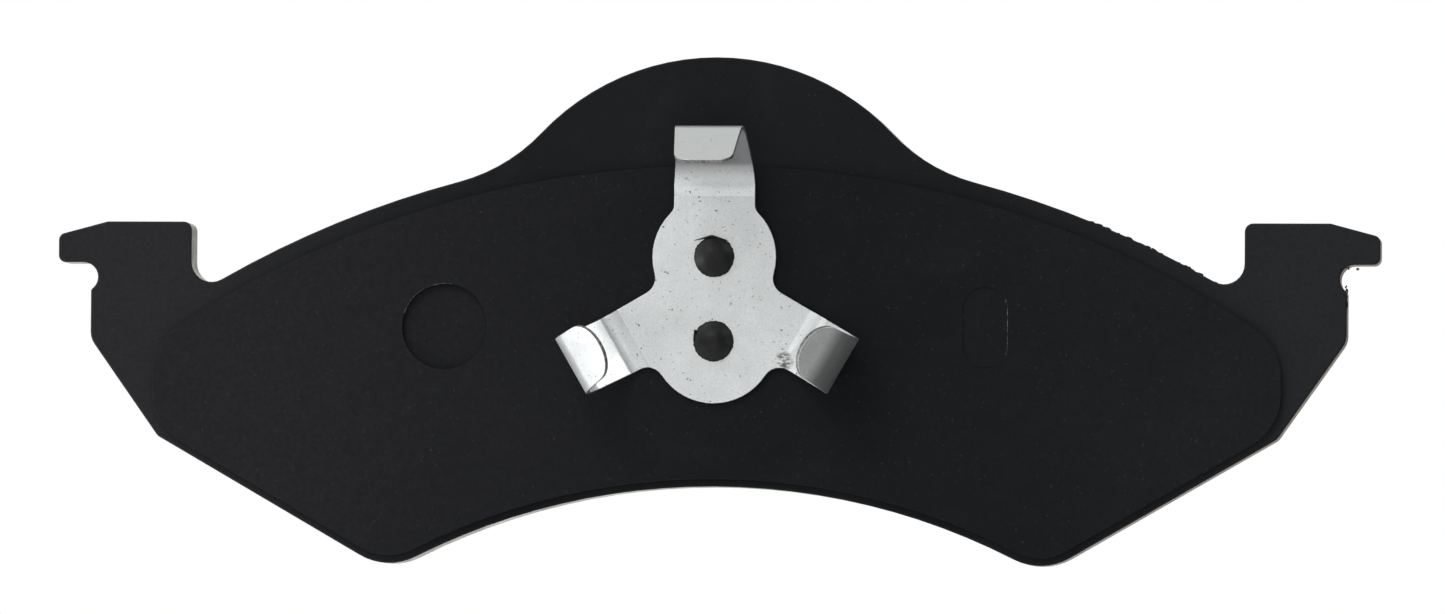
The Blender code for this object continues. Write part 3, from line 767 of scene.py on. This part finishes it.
for name, node in (("upper_rivet", "clip_rivet_upper"), ("lower_rivet", "clip_rivet_lower")):
    low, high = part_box(node)
    middle = (low + high) / 2
    profile = [
        (0, low.y),
        (0.0007, low.y + 0.00006),
        (0.0014, low.y + 0.00035),
        (0.0020, low.y + 0.00082),
        (0.0024, low.y + 0.00128),
        (0.0027, RIVET_SEAT_Y - 0.00028),
        (RIVET_HEAD_RADIUS, RIVET_SEAT_Y - 0.00012),
        (RIVET_HEAD_RADIUS - 0.00006, RIVET_SEAT_Y),
        (RIVET_SHANK_RADIUS, RIVET_SEAT_Y),
        (RIVET_SHANK_RADIUS, high.y - 0.0004),
        (RIVET_SHANK_RADIUS - 0.0004, high.y),
        (0, high.y),
    ]
    points = [(middle.x + out, y, middle.z) for out, y in profile]
    mesh = bpy.data.meshes.new(name)
    mesh.from_pydata(points, [(i, i + 1) for i in range(len(points) - 1)], [])
    rivet = bpy.data.objects.new(name, mesh)
    bpy.context.scene.collection.objects.link(rivet)
    start_editing(rivet)
    bpy.ops.mesh.spin(
        steps=RIVET_TURN_STEPS,
        angle=math.tau,
        center=(middle.x, 0, middle.z),
        axis=(0, 1, 0),
    )
    bpy.ops.mesh.select_all(action="SELECT")
    bpy.ops.mesh.remove_doubles(threshold=1e-6)
    bpy.ops.mesh.normals_make_consistent(inside=False)
    stop_editing()
    for point in rivet.data.vertices:
        out = Vector((point.co.x - middle.x, 0, point.co.z - middle.z))
        if out.length > RIVET_HEAD_RADIUS - 0.0001:
            point.co += out.normalized() * chance.choice(FLASH_WIDTHS)
    bpy.ops.object.shade_smooth_by_angle(angle=math.radians(50))
    paint_faces(rivet, black_steel, lambda face: True)
    for spot, length, lean in SLIVERS[name]:
        bpy.ops.mesh.primitive_cone_add(
            vertices=8,
            radius1=SLIVER_RADIUS,
            radius2=0.00003,
            depth=length,
            location=(spot[0], RIVET_SEAT_Y - SLIVER_RADIUS, middle.z + spot[1]),
            rotation=(0, math.radians(lean), 0),
        )
        sliver = bpy.context.object
        bpy.ops.object.transform_apply()
        sliver.data.materials.append(black_steel)
        rivet.select_set(True)
        bpy.context.view_layer.objects.active = rivet
        bpy.ops.object.join()
    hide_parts(node)
    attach(rivet, "pad")


# Stand, light and camera
# The pad is held up by its ears over a pale floor in a white room. Soft lights stand on the left,
# on the right and high in front, and a card of dark felt on the right keeps the right tab grey.
# The camera looks at the pad's back, a little from the right and from below.
FLOOR_Z = -0.26
FLOOR_WIDTH = 40
CARD_WIDTH = 0.30
CARD_SPOT = (0.24, 0.02, -0.10)
VIEW_AZIMUTH = math.radians(5.8)
VIEW_ELEVATION = math.radians(-2.4)
VIEW_DISTANCE = 1.6
AIM_RIGHT = 0.00105
AIM_UP = -0.00619
ROLL = 0.0068
LENS_LENGTH = 280.2

bpy.ops.mesh.primitive_plane_add(size=FLOOR_WIDTH, location=(0, 0, FLOOR_Z))
floor = bpy.context.object
floor.name = "floor"
floor_paint, tree, shader, place = new_finish("pale_floor", Roughness=0.9)
colour = mixed(tree, noise(tree, place, 6, 3, 0.5), (0.78, 0.78, 0.78), (0.82, 0.82, 0.82))
set_inputs(tree, shader, Base_Color=colour)
floor.data.materials.append(floor_paint)
floor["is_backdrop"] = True

bpy.ops.mesh.primitive_plane_add(size=CARD_WIDTH, location=CARD_SPOT, rotation=(0, math.radians(90), 0))
card = bpy.context.object
card.name = "dark_card"
card_paint, tree, shader, place = new_finish("dark_felt", Roughness=1.0)
colour = mixed(tree, noise(tree, place, 900, 4, 0.6), (0.07, 0.07, 0.07), (0.10, 0.10, 0.10))
set_inputs(tree, shader, Base_Color=colour)
card.data.materials.append(card_paint)
card.visible_camera = False
card.visible_shadow = False
card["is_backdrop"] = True

# The room is lighter on the left and overhead, and plain white behind the pad.
world = bpy.data.worlds.new("white_room")
bpy.context.scene.world = world
world.use_nodes = True
tree = world.node_tree
background = tree.nodes["Background"]
way = add_node(tree, "ShaderNodeTexCoord").outputs["Generated"]
axes = add_node(tree, "ShaderNodeSeparateXYZ", Vector=way)
across = spread(tree, axes.outputs["X"], -0.2, 0.8, 1.10, 0.12)
height = spread(tree, axes.outputs["Z"], -0.9, 0.9, 0.45, 1.15)
light = product(tree, across, height)
seen = add_node(tree, "ShaderNodeLightPath").outputs["Is Camera Ray"]
level = add_node(tree, "ShaderNodeMix", {"data_type": "FLOAT"}, _0=seen, _2=light, _3=1.0).outputs[0]
tree.links.new(level, background.inputs["Strength"])
background.inputs["Color"].default_value = (1, 1, 1, 1)

# Each light's place, width and power. It faces the pad.
for name, spot, size, power in (
    ("left_softbox", (-0.66, -0.06, -0.14), 0.30, 2.6),
    ("right_softbox", (0.80, 0.06, 0.58), 0.40, 2.7),
    ("high_softbox", (-0.6, -1.5, 1.6), 1.0, 16),
):
    lamp = bpy.data.lights.new(name, "AREA")
    lamp.shape = "SQUARE"
    lamp.size = size
    lamp.energy = power
    holder = bpy.data.objects.new(name, lamp)
    bpy.context.scene.collection.objects.link(holder)
    holder.location = spot
    holder.rotation_euler = (-Vector(spot)).to_track_quat("-Z", "Y").to_euler()
    holder.visible_camera = False

back = Vector(
    (
        math.sin(VIEW_AZIMUTH) * math.cos(VIEW_ELEVATION),
        -math.cos(VIEW_AZIMUTH) * math.cos(VIEW_ELEVATION),
        math.sin(VIEW_ELEVATION),
    )
)
turned = (-back).to_track_quat("-Z", "Y").to_matrix()
lens = bpy.data.cameras.new("camera")
lens.lens = LENS_LENGTH
lens.sensor_width = 36
lens.clip_start = 0.05
lens.clip_end = 100
camera = bpy.data.objects.new("camera", lens)
bpy.context.scene.collection.objects.link(camera)
camera.location = back * VIEW_DISTANCE + turned.col[0] * AIM_RIGHT + turned.col[1] * AIM_UP
camera.rotation_euler = (turned @ Matrix.Rotation(ROLL, 3, "Z")).to_euler()
bpy.context.scene.camera = camera
bpy.context.scene.view_settings.view_transform = "Standard"

low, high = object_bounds()
